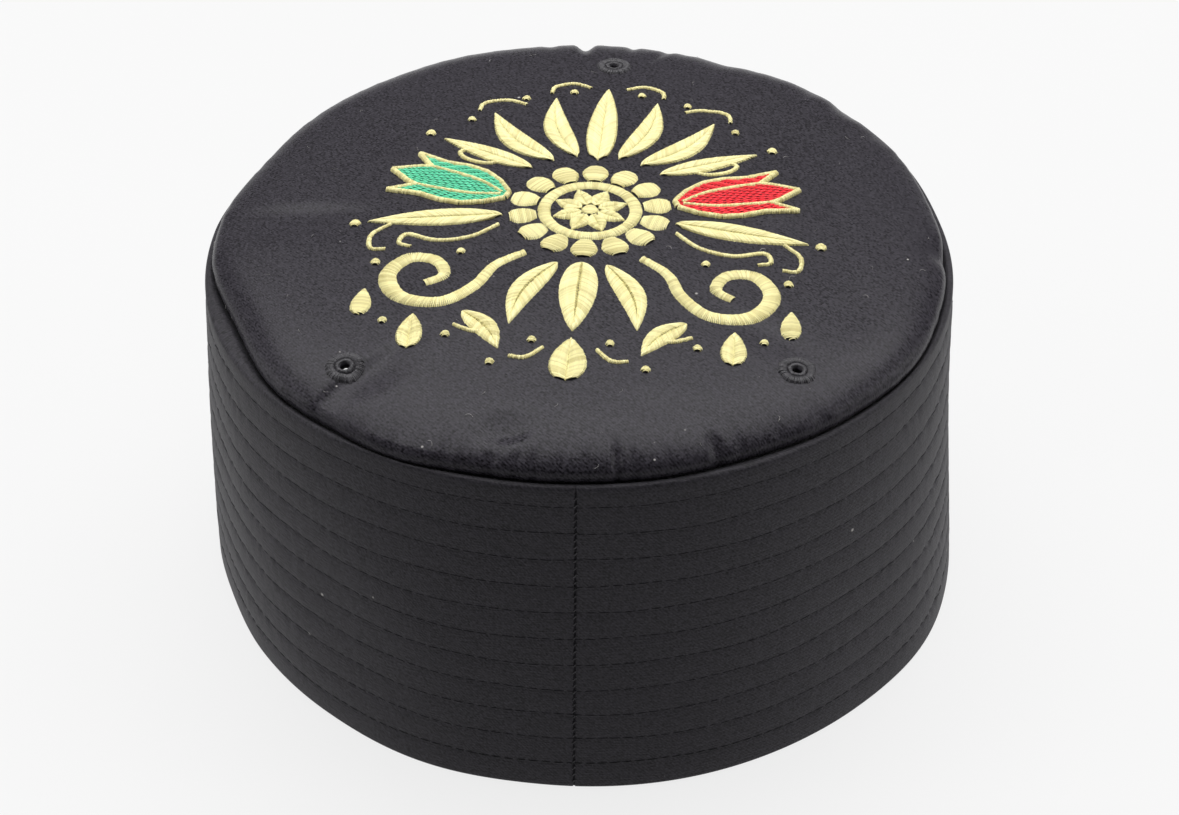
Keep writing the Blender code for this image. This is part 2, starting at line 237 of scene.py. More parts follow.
# Shader groups for cloth and thread.


def twill_group():
    """Slanting ribs crossed by single threads, and the grain of uneven yarn."""
    tree, given, out = new_group(
        "twill_weave", "Shader",
        {"Place": "Vector", "Ribs": 1100.0, "Unevenness": 0.5, "Grain Scale": 1500.0,
         "Grain": 1.2, "Yarns": 1900.0},
        "Height", "Shade", "Each Float")
    place = given["Place"]
    x, y = node(tree, "ShaderNodeSeparateXYZ", {0: place}, ("X", "Y"))
    slant = x + y
    ribs = slant * given["Ribs"] + (noise(tree, place, 700.0) - 0.5) * given["Unevenness"]
    rib = maths(tree, "ABSOLUTE", maths(tree, "SINE", ribs * math.pi))
    across = maths(tree, "FLOOR", slant * given["Yarns"])
    onward = maths(tree, "FLOOR", (x - y) * (given["Yarns"] * 0.6))
    each = node(tree, "ShaderNodeTexWhiteNoise", {"Vector": vector(tree, across, onward)}, "Value")
    grain = (noise(tree, place, given["Grain Scale"], 1.0) - 0.5) * given["Grain"]
    shade = maths(tree, "ADD", rib * 0.35 + each * 0.55, grain * 1.5, True)
    feed(tree, out, {"Height": rib * 0.25 + grain * 2.5, "Shade": shade, "Each Float": each})
    return tree


def slub_group():
    """Long thick-and-thin places of the weft, which run along the cloth's own X."""
    tree, given, out = new_group("weft_slubs", "Shader",
                                 {"Place": "Vector", "Length": 260.0, "Fineness": 2600.0}, "Slub")
    stretch = vector(tree, given["Length"], given["Fineness"], 1.0)
    place = node(tree, "ShaderNodeVectorMath", {0: given["Place"], 1: stretch}, operation="MULTIPLY")
    feed(tree, out, {"Slub": spread(tree, noise(tree, place, 1.0, 3.0), 0.42, 0.72)})
    return tree


def specks_group():
    """Scattered specks of lint: 1 on a speck, 0 elsewhere."""
    tree, given, out = new_group(
        "lint_specks", "Shader",
        {"Place": "Vector", "Density": 420.0, "Share": 0.05, "Size": 0.09}, "Specks")
    far, tint = node(tree, "ShaderNodeTexVoronoi",
                     {"Vector": given["Place"], "Scale": given["Density"]}, ("Distance", "Color"))
    red, green = node(tree, "ShaderNodeSeparateColor", {0: tint}, ("Red", "Green"))
    kept = maths(tree, "LESS_THAN", red, given["Share"])
    out_of_reach = maths(tree, "DIVIDE", far, given["Size"] * (green + 0.5))
    feed(tree, out, {"Specks": kept * maths(tree, "SUBTRACT", 1.0, out_of_reach, True)})
    return tree


def patches_group():
    """Broad soft patches, where the cloth is a little more worn, dusty or pressed."""
    tree, given, out = new_group("soft_patches", "Shader", {"Place": "Vector", "Scale": 30.0}, "Patch")
    cloud = noise(tree, given["Place"], given["Scale"], 4.0)
    feed(tree, out, {"Patch": spread(tree, cloud, 0.3, 0.7)})
    return tree


def twist_group():
    """The plies of a thread, winding round it, from its length and girth attributes."""
    tree, given, out = new_group("thread_twist", "Shader", {"Turns": 1400.0, "Plies": 2.0}, "Height")
    wound = attribute(tree, "along") * given["Turns"] + attribute(tree, "around") * given["Plies"]
    feed(tree, out, {"Height": maths(tree, "SINE", wound * math.tau)})
    return tree


# Finishes.


def new_material(name, roughness, sheen=0.0, sheen_roughness=0.5, specular=0.5):
    material = bpy.data.materials.new(name)
    material.use_nodes = True
    tree = material.node_tree
    shader = tree.nodes["Principled BSDF"]
    feed(tree, shader, {"Roughness": roughness, "Sheen Weight": sheen,
                        "Sheen Roughness": sheen_roughness, "Specular IOR Level": specular})
    return material, tree, shader


def mixed(tree, share, first, second):
    """A colour between two, by a share."""
    return node(tree, "ShaderNodeMix", {"Factor": share, 6: first, 7: second}, 2, data_type="RGBA")


def grey(level, warm=0.0):
    return (level * (1 + warm), level, level * (1 - warm), 1.0)


def cloth_tone(level):
    """A black cloth's grey, a breath towards violet."""
    return (level * 1.02, level * 0.93, level * 1.16, 1.0)


def bumped(tree, height, strength, distance, **below):
    return node(tree, "ShaderNodeBump",
                {"Height": height, "Strength": strength, "Distance": distance, **below})


def cloth_parts(tree, groups, cloth, unevenness, grain, patch_scale, speck_density, speck_size):
    """The twill's height, shade and single floats, and the cloth's worn patches and specks."""
    place = object_place(tree)
    weave = use_group(tree, groups["twill"], ("Height", "Shade", "Each Float"), Place=cloth,
                      Unevenness=unevenness, Grain=grain)
    patch = use_group(tree, groups["patches"], "Patch", Place=place, Scale=patch_scale)
    specks = use_group(tree, groups["specks"], "Specks", Place=place, Density=speck_density,
                       Share=0.035, Size=speck_size)
    return *weave, patch, specks


def make_crown_satin(groups):
    """A close satin-backed twill with a soft sheen and a little lint."""
    material, tree, shader = new_material("crown_satin", 0.3, 0.03, 0.35, 0.094)
    cloth = node(tree, "ShaderNodeUVMap", uv_map="cloth")
    height, shade, each, patch, specks = cloth_parts(tree, groups, cloth, 0.5, 1.0, 26.0, 300.0, 0.10)
    ground = mixed(tree, shade, cloth_tone(0.004), cloth_tone(0.040))
    worn = mixed(tree, patch * 0.22, ground, cloth_tone(0.032))
    feed(tree, shader, {
        "Base Color": mixed(tree, specks, worn, grey(0.50, 0.04)),
        "Roughness": each * 0.16 + (patch * 0.05 + 0.21),
        "Coat Weight": maths(tree, "POWER", each, 2.0) * 0.04,
        "Coat Roughness": 0.24,
        "Normal": bumped(tree, height, 0.8, 0.00002),
    })
    return material


def make_band_twill(groups):
    """A duller twill with slubs along it."""
    material, tree, shader = new_material("band_twill", 0.58, 0.05, 0.5, 0.16)
    cloth = node(tree, "ShaderNodeUVMap", uv_map="cloth")
    height, shade, _, patch, specks = cloth_parts(tree, groups, cloth, 0.8, 0.8, 34.0, 240.0, 0.09)
    slubs = use_group(tree, groups["slubs"], "Slub", Place=cloth)
    ground = mixed(tree, shade, cloth_tone(0.002), cloth_tone(0.033))
    slubbed = mixed(tree, slubs * 0.5, ground, cloth_tone(0.030))
    worn = mixed(tree, patch * 0.2, slubbed, cloth_tone(0.026))
    coarse = bumped(tree, slubs, 0.4, 0.00010)
    feed(tree, shader, {"Base Color": mixed(tree, specks, worn, grey(0.45, 0.04)),
                        "Normal": bumped(tree, height, 0.8, 0.00005, Normal=coarse)})
    return material


Thread = namedtuple("Thread", "dark light roughness sheen specular", defaults=(0.36, 0.15, 0.35))
THREADS = {
    "black_thread": Thread((0.004, 0.004, 0.005), (0.012, 0.012, 0.014), 0.55, 0.0, 0.3),
    "quilting_thread": Thread((0.011, 0.0105, 0.012), (0.026, 0.024, 0.029), 0.6, 0.0, 0.2),
    "eyelet_thread": Thread((0.016, 0.015, 0.018), (0.050, 0.047, 0.054), 0.45, 0.1, 0.4),
    "gold_thread": Thread((0.60, 0.52, 0.21), (0.95, 0.89, 0.47)),
    "green_thread": Thread((0.07, 0.50, 0.28), (0.13, 0.70, 0.42)),
    "red_thread": Thread((0.70, 0.008, 0.018), (0.92, 0.018, 0.038)),
}


def make_thread(name, groups, thread):
    """Trilobal embroidery thread: two tones that differ from stitch to stitch."""
    material, tree, shader = new_material(name, thread.roughness, thread.sheen, 0.4, thread.specular)
    fibre = noise(tree, object_place(tree), 5200.0, 1.0)
    share = maths(tree, "ADD", attribute(tree, "tone") * 0.75, fibre * 0.35, True)
    twist = use_group(tree, groups["twist"], "Height")
    feed(tree, shader, {"Base Color": mixed(tree, share, (*thread.dark, 1.0), (*thread.light, 1.0)),
                        "Normal": bumped(tree, twist, 0.35, 0.00003)})
    return material


def make_lint_finish():
    material, tree, shader = new_material("lint", 0.8)
    tint = noise(tree, object_place(tree), 90.0)
    feed(tree, shader, {"Base Color": mixed(tree, tint, grey(0.25), grey(0.60, 0.05))})
    return material


def make_finishes():
    groups = {"twill": twill_group(), "slubs": slub_group(), "specks": specks_group(),
              "patches": patches_group(), "twist": twist_group()}
    finishes = {"crown_satin": make_crown_satin(groups), "band_twill": make_band_twill(groups)}
    for name, thread in THREADS.items():
        finishes[name] = make_thread(name, groups, thread)
    finishes["lint"] = make_lint_finish()
    return finishes


# Geometry Nodes that grow threads, stitches and lint.


def upright_curves(tree, runs):
    curves = node(tree, "GeometryNodeMeshToCurve", {0: runs})
    return node(tree, "GeometryNodeSetCurveNormal", {"Curve": curves}, mode="Z_UP")


def stored(tree, shape, name, value):
    """A shape with a number kept at each of its points."""
    return node(tree, "GeometryNodeStoreNamedAttribute",
                {"Geometry": shape, "Name": name, "Value": value}, data_type="FLOAT", domain="POINT")


def circle(tree, sides, radius):
    return node(tree, "GeometryNodeCurvePrimitiveCircle", {"Resolution": sides, "Radius": radius})


def bowed_thread(tree, steps, start, middle, end, sides, radius):
    """A short thread that bows from its start to its end."""
    arc = node(tree, "GeometryNodeCurveQuadraticBezier",
               {"Resolution": steps, "Start": start, "Middle": middle, "End": end})
    return node(tree, "GeometryNodeCurveToMesh",
                {"Curve": arc, "Profile Curve": circle(tree, sides, radius), "Fill Caps": True})


def drawn(tree, low, high, seed):
    """A random number, its own for each point."""
    return node(tree, "FunctionNodeRandomValue", {2: low, 3: high, "Seed": seed}, 1, data_type="FLOAT")


def scattered(tree, points, piece, rotation, scale):
    return node(tree, "GeometryNodeInstanceOnPoints",
                {"Points": points, "Instance": piece, "Rotation": rotation, "Scale": scale})


def finish_tree(tree, shape, finish, out):
    smooth = node(tree, "GeometryNodeSetShadeSmooth", {0: shape})
    real = node(tree, "GeometryNodeRealizeInstances", {0: smooth})
    feed(tree, out, {0: node(tree, "GeometryNodeSetMaterial", {"Geometry": real, "Material": finish})})
    return tree


def thread_tree():
    """Turns each run of edges into one thread, flattened as tight stitches are."""
    tree, given, out = new_group(
        "threads_from_runs", "Geometry",
        {"Runs": "Geometry", "Thread Radius": 0.0002, "Sides": 5, "Flatness": 0.7,
         "Finish": "Material"},
        "Threads")
    along = node(tree, "GeometryNodeSplineParameter", None, "Length")
    measured = stored(tree, upright_curves(tree, given["Runs"]), "along", along)
    thick = node(tree, "GeometryNodeInputNamedAttribute", {"Name": "thick"}, data_type="FLOAT")
    section = node(tree, "GeometryNodeTransform",
                   {"Geometry": circle(tree, given["Sides"], given["Thread Radius"]),
                    "Scale": vector(tree, 1.0, given["Flatness"], 1.0)})
    around = node(tree, "GeometryNodeSplineParameter", None, "Factor")
    tube = node(tree, "GeometryNodeCurveToMesh",
                {"Curve": measured, "Profile Curve": stored(tree, section, "around", around),
                 "Scale": thick, "Fill Caps": True})
    return finish_tree(tree, tube, given["Finish"], out)


def running_stitch_tree():
    """Sets even stitches along each run: each dips into the cloth at both of its ends."""
    tree, given, out = new_group(
        "running_stitches", "Geometry",
        {"Runs": "Geometry", "Pitch": 0.003, "Stitch Length": 0.0025, "Rise": 0.0004,
         "Thread Radius": 0.00018, "Seed": 0, "Finish": "Material"},
        "Stitches")
    spots, turn = node(tree, "GeometryNodeCurveToPoints",
                       {"Curve": upright_curves(tree, given["Runs"]), "Length": given["Pitch"]},
                       ("Points", "Rotation"), mode="LENGTH")
    half = given["Stitch Length"] * 0.5
    stitch = bowed_thread(tree, 5, vector(tree, z=half * -1.0), vector(tree, given["Rise"]),
                          vector(tree, z=half), 5, given["Thread Radius"])
    lengths = drawn(tree, 0.85, 1.12, given["Seed"])
    return finish_tree(tree, scattered(tree, spots, stitch, turn, lengths), given["Finish"], out)


def lint_tree():
    """Scatters short curled fibres over a surface."""
    tree, given, out = new_group(
        "lint_fibres", "Geometry",
        {"Cloth": "Geometry", "Density": 4000.0, "Fibre Length": 0.0011,
         "Fibre Radius": 0.000022, "Seed": 0, "Finish": "Material"},
        "Fibres")
    seed = given["Seed"]
    spots, lie = node(tree, "GeometryNodeDistributePointsOnFaces",
                      {"Mesh": given["Cloth"], "Density": given["Density"], "Seed": seed},
                      ("Points", "Rotation"))
    half = given["Fibre Length"] * 0.5
    fibre = bowed_thread(tree, 6, vector(tree, half * -1.0), vector(tree, 0.0, half, half * 0.5),
                         vector(tree, half), 3, given["Fibre Radius"])
    about = vector(tree, z=drawn(tree, 0.0, math.tau, seed))
    turn = node(tree, "FunctionNodeRotateRotation", {"Rotation": lie, "Rotate By": about},
                rotation_space="LOCAL")
    sizes = drawn(tree, 0.3, 1.3, seed)
    return finish_tree(tree, scattered(tree, spots, fibre, turn, sizes), given["Finish"], out)


def plain_object(name, mesh):
    made = bpy.data.objects.new(name, mesh)
    bpy.context.scene.collection.objects.link(made)
    return made


def finished_mesh(host):
    """The mesh that an object's modifiers leave, as a plain one."""
    bpy.context.view_layer.update()
    done = host.evaluated_get(bpy.context.evaluated_depsgraph_get())
    return bpy.data.meshes.new_from_object(done)


def grow(name, mesh, tree, **inputs):
    """Runs a Geometry Nodes tree on a mesh, and keeps the result as a plain mesh."""
    host = plain_object(name + "_start", mesh)
    modifier = host.modifiers.new("grow", "NODES")
    modifier.node_group = tree
    for item in tree.interface.items_tree:
        label = item.name.replace(" ", "_")
        if item.in_out == "INPUT" and label in inputs:
            modifier[item.identifier] = inputs[label]
    piece = plain_object(name, finished_mesh(host))
    bpy.data.objects.remove(host)
    return piece


def settle(piece, slot, *nodes):
    """Lets a piece ride on the cap, and hides the solids it stands for. The slot it is given is not
    used.
    """
    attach(piece, "root")
    if nodes:
        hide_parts(*nodes)


# Cloth surfaces.


def pulse(offset, half_width):
    """A smooth pulse: 1 in the middle, 0 from half_width outwards."""
    inside = np.clip(np.abs(offset) / half_width, 0.0, 1.0)
    return 0.5 + 0.5 * np.cos(np.pi * inside)


def turned_from(azimuth, degrees):
    """How far round from a direction, in degrees from -180 to 180."""
    return (np.degrees(azimuth) - degrees + 180.0) % 360.0 - 180.0


Wave = namedtuple("Wave", "turns rise phase size")


def waves(azimuth, rise, table):
    """The sum of a table's waves, over the way round and the way up or out."""
    return sum(w.size * np.sin(w.turns * azimuth + w.rise * math.tau * rise + w.phase) for w in table)


def oval_at(azimuth, oval):
    """How much further out the cap lies here than a round one would."""
    return MM * sum(t.cosine * np.cos(t.turns * azimuth) + t.sine * np.sin(t.turns * azimuth)
                    for t in oval)


def swell_at(azimuth, swells):
    return MM * sum(swell.out * pulse(turned_from(azimuth, swell.azimuth), swell.half_width)
                    for swell in swells)


def top_oval(azimuth):
    """How far the crown's edge and the band's top lie outside a round one."""
    return oval_at(azimuth, TOP_OVAL) + swell_at(azimuth, EDGE_SWELLS)


def skin(name, points, cloth, closed, material, hub=None):
    """A mesh through rings of points, with the cloth's own flat plan as its UV map.

    points is (rings, columns, 3). cloth has one column more, and one ring more if closed.
    hub is a point and its place on the plan, which closes the first ring.
    """
    rings, columns = points.shape[:2]
    strips = rings if closed else rings - 1
    ring, column = (a.reshape(-1) for a in
                    np.meshgrid(np.arange(strips), np.arange(columns), indexing="ij"))
    after, beside = (ring + 1) % rings, (column + 1) % columns
    faces = np.stack([ring * columns + column, after * columns + column,
                      after * columns + beside, ring * columns + beside], -1).tolist()
    corners = np.stack([cloth[ring, column], cloth[ring + 1, column],
                        cloth[ring + 1, column + 1], cloth[ring, column + 1]], 1)
    places, plan = points.reshape(-1, 3), corners.reshape(-1, 2)
    if hub is not None:
        turn = np.arange(columns)
        faces += np.stack([np.full(columns, len(places)), turn, (turn + 1) % columns], -1).tolist()
        fan_plan = np.stack([np.broadcast_to(hub[1], (columns, 2)), cloth[0, :-1], cloth[0, 1:]], 1)
        places = np.concatenate([places, [hub[0]]])
        plan = np.concatenate([plan, fan_plan.reshape(-1, 2)])
    mesh = bpy.data.meshes.new(name)
    mesh.from_pydata(places.tolist(), [], faces)
    mesh.uv_layers.new(name="cloth").data.foreach_set("uv", plan.reshape(-1).astype(np.float32))
    mesh.shade_smooth()
    mesh.materials.append(material)
    return mesh


# The crown.

# Gathers round the crown's edge, in degrees and millimetres. Front is -90, back is 90.
# The reach says how far a gather runs in from the roll.
Gather = namedtuple("Gather", "azimuth half_width depth reach")
GATHERS = named(
    Gather,
    (-116.0, 2.0, 0.20, 5.0), (-108.5, 1.6, 0.22, 5.0), (-102.0, 1.5, 0.80, 6.0),
    (-98.4, 1.1, 0.45, 4.0), (-96.0, 0.9, 0.32, 3.5), (-92.2, 1.0, 0.18, 3.0),
    (-88.8, 1.1, 0.45, 6.0), (-84.2, 1.0, 1.50, 7.0), (-81.8, 1.1, 0.50, 4.0),
    (-77.0, 1.1, 0.22, 4.0), (-69.8, 1.5, 1.00, 6.5), (-66.2, 1.2, 0.30, 4.0),
    (-60.0, 1.5, 0.25, 5.0), (-53.0, 1.7, 0.20, 5.0), (76.0, 1.6, 0.40, 9.0), (81.8, 1.4, 0.55, 8.0),
    (90.0, 2.0, 1.90, 12.0), (96.0, 2.0, 0.30, 8.0), (41.0, 5.0, 0.50, 16.0),
    (66.0, 5.0, 0.45, 14.0), (-4.0, 6.0, 1.00, 10.0))

# Small puckers all the way round the seam, and broad swells of the dome, in millimetres.
PUCKERS = named(
    Wave,
    (61, 0.0, 0.4, 0.03), (83, 0.2, 2.1, 0.03), (107, 0.0, 4.4, 0.02), (139, 0.1, 1.3, 0.015))
CROWN_SWELLS = named(Wave, (3, 0.6, 0.7, 0.16), (5, 1.1, 2.9, 0.14), (8, 0.4, 5.1, 0.10))

# Soft dents of the dome, in millimetres from the crown's centre. A long dent lies along its
# angle, in degrees; it slopes down from its left over one width, and from its right over
# the other.
Dent = namedtuple("Dent", "x y angle half_length left right depth")
DENTS = named(
    Dent,
    (-49.0, -60.8, 43.0, 19.0, 3.4, 11.0, 1.25), (-39.0, -49.0, 43.0, 11.0, 1.8, 5.0, 0.25),
    (-15.5, -79.0, 2.0, 10.0, 9.0, 5.0, 1.45), (-21.5, -79.0, -60.0, 8.5, 3.4, 3.4, -0.14),
    (-9.0, -79.5, 49.0, 9.0, 3.4, 3.4, -0.16), (-34.0, -76.0, -28.0, 14.0, 8.0, 7.0, 0.25),
    (-68.0, 1.5, -2.0, 26.0, 7.0, 15.0, 0.75), (-60.0, 46.0, 140.0, 26.0, 12.0, 9.0, 0.28),
    (31.0, 49.0, 52.0, 15.0, 3.0, 2.4, 0.28), (54.0, 60.0, 62.0, 20.0, 7.0, 4.0, 0.35),
    (64.0, 40.0, 34.0, 22.0, 9.0, 5.0, 0.35), (17.0, 76.0, 60.0, 14.0, 3.5, 2.2, 0.35),
    (42.0, -45.0, -38.0, 18.0, 5.0, 9.0, 0.30), (64.0, -34.0, 70.0, 20.0, 8.0, 8.0, 0.25),
    (74.0, -4.0, 84.0, 22.0, 7.0, 7.0, 0.25), (22.0, -73.0, -12.0, 17.0, 7.0, 8.0, 0.32))


def crown_profile():
    """Radius, height, slope and way out from the centre, ring by ring to the tuck."""
    share = np.linspace(0.02, 1.0, DOME_RINGS) ** 0.8
    dome_r = ROLL_START_R * share
    dome_z = CROWN_TOP - DOME_RISE * share ** 2 - SHOULDER_RISE * share ** SHOULDER_POWER
    fall = (2 * DOME_RISE * share
            + SHOULDER_POWER * SHOULDER_RISE * share ** (SHOULDER_POWER - 1)) / ROLL_START_R
    dome_slope = np.pi / 2 - np.arctan(fall)
    start = dome_slope[-1]
    slope = np.linspace(start, TUCK_ANGLE, ROLL_RINGS + 1)[1:]
    roll_r = ROLL_START_R + ROLL_RADIUS * (np.cos(slope) - math.cos(start))
    roll_z = dome_z[-1] + ROLL_RADIUS * (np.sin(slope) - math.sin(start))
    radius = np.concatenate([dome_r, roll_r])
    height = np.concatenate([dome_z, roll_z])
    steps = np.hypot(np.diff(radius), np.diff(height))
    way = radius[0] + np.concatenate([[0.0], np.cumsum(steps)])
    return radius, height, np.concatenate([dome_slope, slope]), way


def crown_azimuths():
    """Directions round the crown, closer together where it is gathered."""
    fine_front = np.arange(-142.0, -44.0, 0.42)
    fine_back = np.arange(66.0, 102.0, 0.5)
    side = np.linspace(-44.0, 66.0, 100)[:-1]
    other = np.linspace(102.0, 218.0, 100)
    return np.radians(np.concatenate([fine_front, side, fine_back, other]))


def gather_depth(azimuth, from_seam):
    """How far the gathers and puckers pull the crown in, in millimetres."""
    depth = 0.0
    for gather in GATHERS:
        along = np.interp(from_seam, [0.0, 2.0, 4.5, 6.5, 6.5 + 0.8 * gather.reach],
                          [0.0, 0.6, 1.0, 0.9, 0.0])
        depth = depth + gather.depth * along * pulse(turned_from(azimuth, gather.azimuth),
                                                     gather.half_width)
    near_seam = np.interp(from_seam, [0.0, 2.0, 6.0, 11.0], [0.4, 1.0, 0.8, 0.0])
    return depth + near_seam * waves(azimuth, from_seam / 20.0, PUCKERS)


def dent_depth(x, y):
    """How deep the dome's soft dents are, in millimetres."""
    depth = 0.0
    for dent in DENTS:
        angle = math.radians(dent.angle)
        along = (x - dent.x) * math.cos(angle) + (y - dent.y) * math.sin(angle)
        across = (y - dent.y) * math.cos(angle) - (x - dent.x) * math.sin(angle)
        far = np.hypot(along / dent.half_length, across / np.where(across > 0.0, dent.left, dent.right))
        depth = depth + dent.depth * pulse(far, 1.0)
    return depth


def crown_surface():
    """Rings of points of the crown's outer face, and their places on the flat cloth."""
    radius, height, slope, way = (a[:, None] for a in crown_profile())
    azimuth = crown_azimuths()[None, :]
    from_seam = (way[-1] - way) / MM
    rim_fade = np.interp(from_seam, [0.0, 6.5], [0.0, 1.0])
    centre_fade = np.clip((way / ROLL_START_R) ** 1.5, 0.0, 1.0)
    pull = gather_depth(azimuth, from_seam)
    pull = pull + rim_fade * dent_depth(radius * np.cos(azimuth) / MM, radius * np.sin(azimuth) / MM)
    pull = pull - rim_fade * centre_fade * waves(azimuth, way / ROLL_START_R, CROWN_SWELLS)
    wider = top_oval(azimuth) * np.minimum(radius / ROLL_START_R, 1.0)
    near_seam = np.interp(from_seam, [0.0, 5.0, 18.0], [1.0, 1.0, 0.0])
    wider = wider + near_seam * swell_at(azimuth, SEAM_SWELLS)
    level = radius + wider - pull * MM * np.cos(slope)
    points = np.stack([level * np.cos(azimuth), level * np.sin(azimuth) + CROWN_SHIFT_Y,
                       height - pull * MM * np.sin(slope)], -1)
    cloth = np.stack([way * np.cos(azimuth), way * np.sin(azimuth)], -1)
    return points[:, :-1], cloth, way[-1, 0]


Eyelet = namedtuple("Eyelet", "side x y")
EYELETS = named(
    Eyelet,
    ("left", -0.0518, -0.0580), ("right", 0.0486, -0.0578), ("back", 0.0075, 0.0725))


def punch_eyelets(mesh):
    """Opens a round hole at each eyelet: its faces go, and the cut edge is drawn round."""
    bm = bmesh.new()
    bm.from_mesh(mesh)
    for eyelet in EYELETS:
        middle = Vector((eyelet.x, eyelet.y + CROWN_SHIFT_Y))
        spots = ((face, face.calc_center_median()) for face in bm.faces)
        near = [face for face, spot in spots
                if spot.z > BAND_HEIGHT and (spot.xy - middle).length < EYELET_HOLE]
        edge = {v for f in near for v in f.verts}
        bmesh.ops.delete(bm, geom=near, context="FACES")
        for vertex in edge:
            if vertex.is_valid:
                out = (vertex.co.xy - middle).normalized() * EYELET_HOLE
                vertex.co.xy = middle + out
    bm.to_mesh(mesh)
    bm.free()


def make_crown(finishes):
    """The crown's cloth, given its thickness, with the eyelets open."""
    points, cloth, reach = crown_surface()
    hub = (np.array([0.0, CROWN_SHIFT_Y, points[0, :, 2].mean()]), np.zeros(2))
    mesh = skin("crown_cloth", points, cloth, False, finishes["crown_satin"], hub)
    punch_eyelets(mesh)
    face = BVHTree.FromPolygons([v.co.copy() for v in mesh.vertices],
                                [tuple(p.vertices) for p in mesh.polygons])
    crown = plain_object("crown_cloth", mesh)
    wall = crown.modifiers.new("wall", "SOLIDIFY")
    wall.thickness = CROWN_WALL
    wall.offset = -1.0
    thick = finished_mesh(crown)
    crown.modifiers.clear()
    crown.data = thick
    settle(crown, "crown_satin", "crown")
    return crown, face, reach


# The side band.

BAND_SWAY = named(
    Wave,
    (0, 0.0, math.pi / 2, -0.10), (1, 0.0, math.pi / 2, -0.50), (5, 0.7, 2.2, 0.14),
    (9, 0.5, 4.0, 0.12), (14, 1.2, 1.1, 0.08))
ROW_WANDER = named(Wave, (4, 1.7, 0.3, 0.20), (11, 3.1, 2.6, 0.12), (23, 5.3, 4.9, 0.07))
# Drags: many small slanting ripples of the quilted cloth. A range limits their turns.
DRAG_COUNT = 26
DRAG_TURNS = (30, 190)
DRAG_SIZE = 0.004
BAND_DRAGS = tuple(
    Wave(int(turns), slant, phase, DRAG_SIZE * size)
    for turns, slant, phase, size in zip(
        RANDOM.integers(*DRAG_TURNS, DRAG_COUNT), RANDOM.uniform(-14.0, 14.0, DRAG_COUNT),
        RANDOM.uniform(0.0, math.tau, DRAG_COUNT), RANDOM.uniform(0.4, 1.3, DRAG_COUNT)))

# How hard each place of each row pulls on the cloth, at even steps round the cap.
PULLS = RANDOM.uniform(0.0, 2.2, (QUILT_ROWS, 420))

# Steps across one quilted channel, from the stitched line, as shares of the channel.
CHANNEL_STEPS = (-0.34, -0.16, -0.06, 0.0, 0.06, 0.16, 0.34)


def quilt_row(row):
    return QUILT_FIRST + QUILT_PITCH * row


def row_pull(azimuth, row):
    """How hard the stitches pull here, from a table that runs round the cap."""
    turn = np.mod((azimuth - math.radians(FRONT)) / math.tau, 1.0) * PULLS.shape[1]
    before = np.floor(turn).astype(int) % PULLS.shape[1]
    after = (before + 1) % PULLS.shape[1]
    share = turn - np.floor(turn)
    return PULLS[row, before] * (1 - share) + PULLS[row, after] * share


def band_section():
    """Depth, height and share of the outside along the wall's section: over the lip, down the
    outside, round the hem and up the inside."""
    lip = np.linspace(np.pi, 0.0, 8)
    hem = np.linspace(0.0, np.pi / 2, 5)
    channels = [quilt_row(row) + step * QUILT_PITCH
                for row in reversed(range(QUILT_ROWS)) for step in reversed(CHANNEL_STEPS)]
    parts = (
        (LIP_WIDTH / 2 * (1 - np.cos(lip)), BAND_HEIGHT - 0.45 * LIP_WIDTH * (1 - np.sin(lip)),
         np.linspace(0.0, 1.0, 8)),
        (0.0, channels, 1.0),
        (HEM_RADIUS * (1 - np.cos(hem)), HEM_RADIUS * (1 - np.sin(hem)), np.cos(hem)),
        (BAND_WALL - HEM_RADIUS * (1 - np.sin(hem)), HEM_RADIUS * (1 - np.cos(hem)), 0.0),
        (BAND_WALL, (BAND_HEIGHT - LEDGE_DEPTH) * np.linspace(0.1, 1.0, 10), 0.0),
        (LIP_WIDTH, [BAND_HEIGHT - LEDGE_DEPTH - 0.0002], 0.0),
    )
    return [np.concatenate(column) for column in zip(*(np.broadcast_arrays(*p) for p in parts))]


def band_point(azimuth, depth, height):
    """Points of the band at a height, this far inside its outer face."""
    share = height / BAND_HEIGHT
    rim = BAND_RIM_RADIUS + oval_at(azimuth, RIM_OVAL) + swell_at(azimuth, RIM_SWELLS)
    top = BAND_TOP_RADIUS + top_oval(azimuth)
    radius = rim + (top - rim) * share - depth
    return np.stack(np.broadcast_arrays(radius * np.cos(azimuth),
                                        radius * np.sin(azimuth) + CROWN_SHIFT_Y * share,
                                        height), -1)


